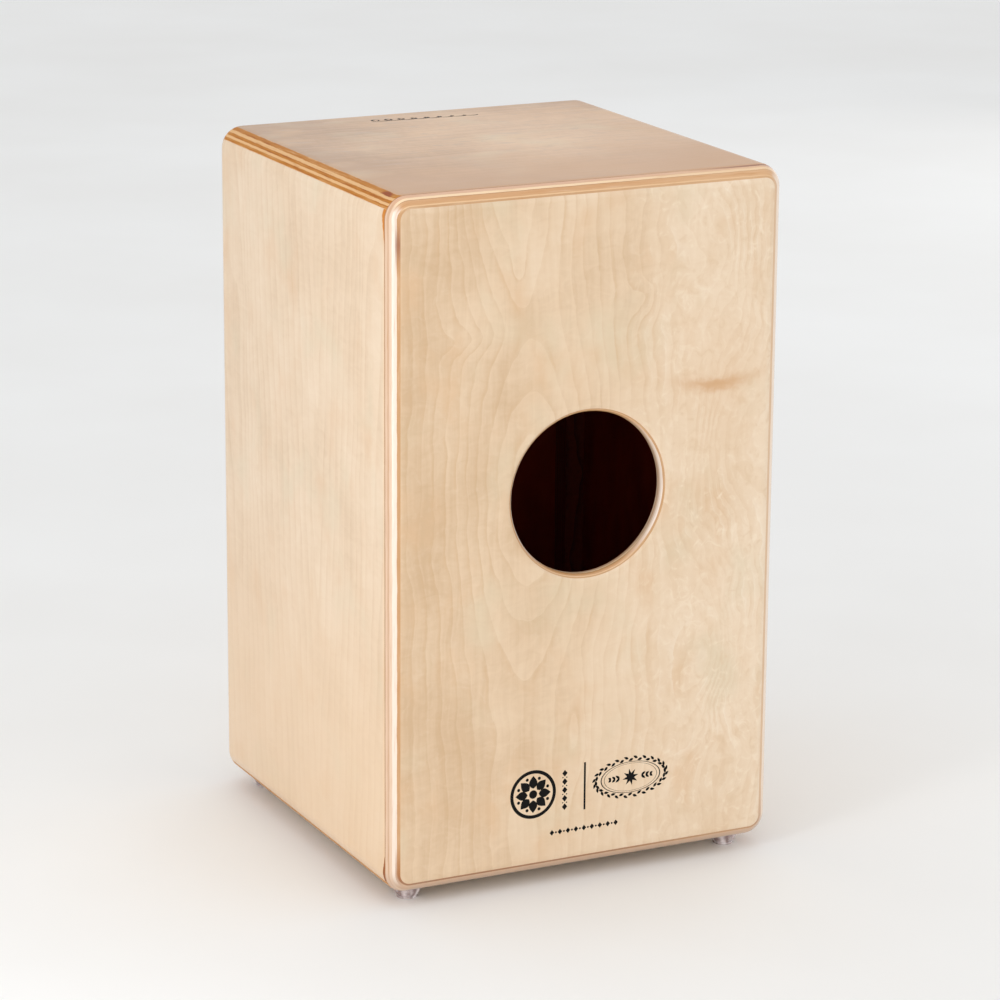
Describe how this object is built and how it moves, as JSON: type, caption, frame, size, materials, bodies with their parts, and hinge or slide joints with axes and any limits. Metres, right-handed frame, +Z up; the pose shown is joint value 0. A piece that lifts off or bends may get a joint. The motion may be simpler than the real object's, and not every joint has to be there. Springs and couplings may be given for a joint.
{
  "type": "cajon",
  "caption": "Plywood box drum with a round sound hole in the back, a thin playing face, a rounded seat, small feet and tensioned snare strings inside.",
  "frame": {"origin": "on the floor, under the middle of the box", "axes": "+Z up; the sound hole looks along +Y, the playing face (tapa) along -Y, and +X is on the seated player's left"},
  "size_m": [0.3, 0.3, 0.5],
  "materials": {
    "birch_panel": "satin clear lacquer over rotary-cut birch veneer, plies showing at the rounded edges, inner faces stained dark",
    "birch_seat": "satin clear lacquer over birch veneer, grain across the seat",
    "birch_tapa": "satin clear lacquer over thin birch plywood",
    "batten_wood": "planed softwood with the same dark stain as the inside of the box",
    "foot_rubber": "grey moulded rubber, slightly glossy",
    "zinc_steel": "bright zinc plating",
    "nickel_steel": "nickel plating",
    "black_steel": "black oxide",
    "brass": "turned and milled brass",
    "string_steel": "nickel-wound steel string",
    "print_ink": "screen-printed black ornament, no lettering"
  },
  "bodies": {
    "box": {"bottom_panel": "birch_panel", "side_panel_left": "birch_panel", "side_panel_right": "birch_panel", "back_panel": "birch_panel", "seat_panel": "birch_seat", "tapa": "birch_tapa", "front_batten_top": "batten_wood", "front_batten_bottom": "batten_wood", "front_batten_left": "batten_wood", "front_batten_right": "batten_wood", "rear_batten_top": "batten_wood", "rear_batten_bottom": "batten_wood", "rear_batten_left": "batten_wood", "rear_batten_right": "batten_wood", "string_bar": "batten_wood", "foot_front_left": "foot_rubber", "foot_front_right": "foot_rubber", "foot_rear_left": "foot_rubber", "foot_rear_right": "foot_rubber", "foot_screws": "zinc_steel", "foot_washers": "zinc_steel", "bracket_screws": "zinc_steel", "guide_bracket_left": "zinc_steel", "guide_bracket_right": "zinc_steel", "tapa_screws": "nickel_steel", "string_anchor_screws": "nickel_steel", "bolt_bush_left": "brass", "bolt_bush_right": "brass", "snare_strings_left": "string_steel", "snare_strings_right": "string_steel"},
    "tension_bolt_left": {"tension_bolt_left": "black_steel", "retaining_clip_left": "nickel_steel"},
    "string_carriage_left": {"string_carriage_left": "brass", "string_ball_ends_left": "brass"},
    "tension_bolt_right": {"tension_bolt_right": "black_steel", "retaining_clip_right": "nickel_steel"},
    "string_carriage_right": {"string_carriage_right": "brass", "string_ball_ends_right": "brass"}
  },
  "joints": [
    {"name": "tension_bolt_left_turn", "type": "hinge", "parent": "box", "child": "tension_bolt_left", "pos_m": [0.048, -0.133, 0.016], "axis": [0, 0, 1], "range_deg": [0, 1800]},
    {"name": "string_carriage_left_slide", "type": "slide", "parent": "box", "child": "string_carriage_left", "axis": [0, 0, -1], "range_m": [0, 0.004], "deforming": ["snare_strings_left"]},
    {"name": "tension_bolt_right_turn", "type": "hinge", "parent": "box", "child": "tension_bolt_right", "pos_m": [-0.048, -0.133, 0.016], "axis": [0, 0, 1], "range_deg": [0, 1800]},
    {"name": "string_carriage_right_slide", "type": "slide", "parent": "box", "child": "string_carriage_right", "axis": [0, 0, -1], "range_m": [0, 0.004], "deforming": ["snare_strings_right"]}
  ],
  "couplings": [
    {"joint": "tension_bolt_left_turn", "follows": "string_carriage_left_slide", "rad_per_m": 7854},
    {"joint": "tension_bolt_right_turn", "follows": "string_carriage_right_slide", "rad_per_m": 7854}
  ]
}
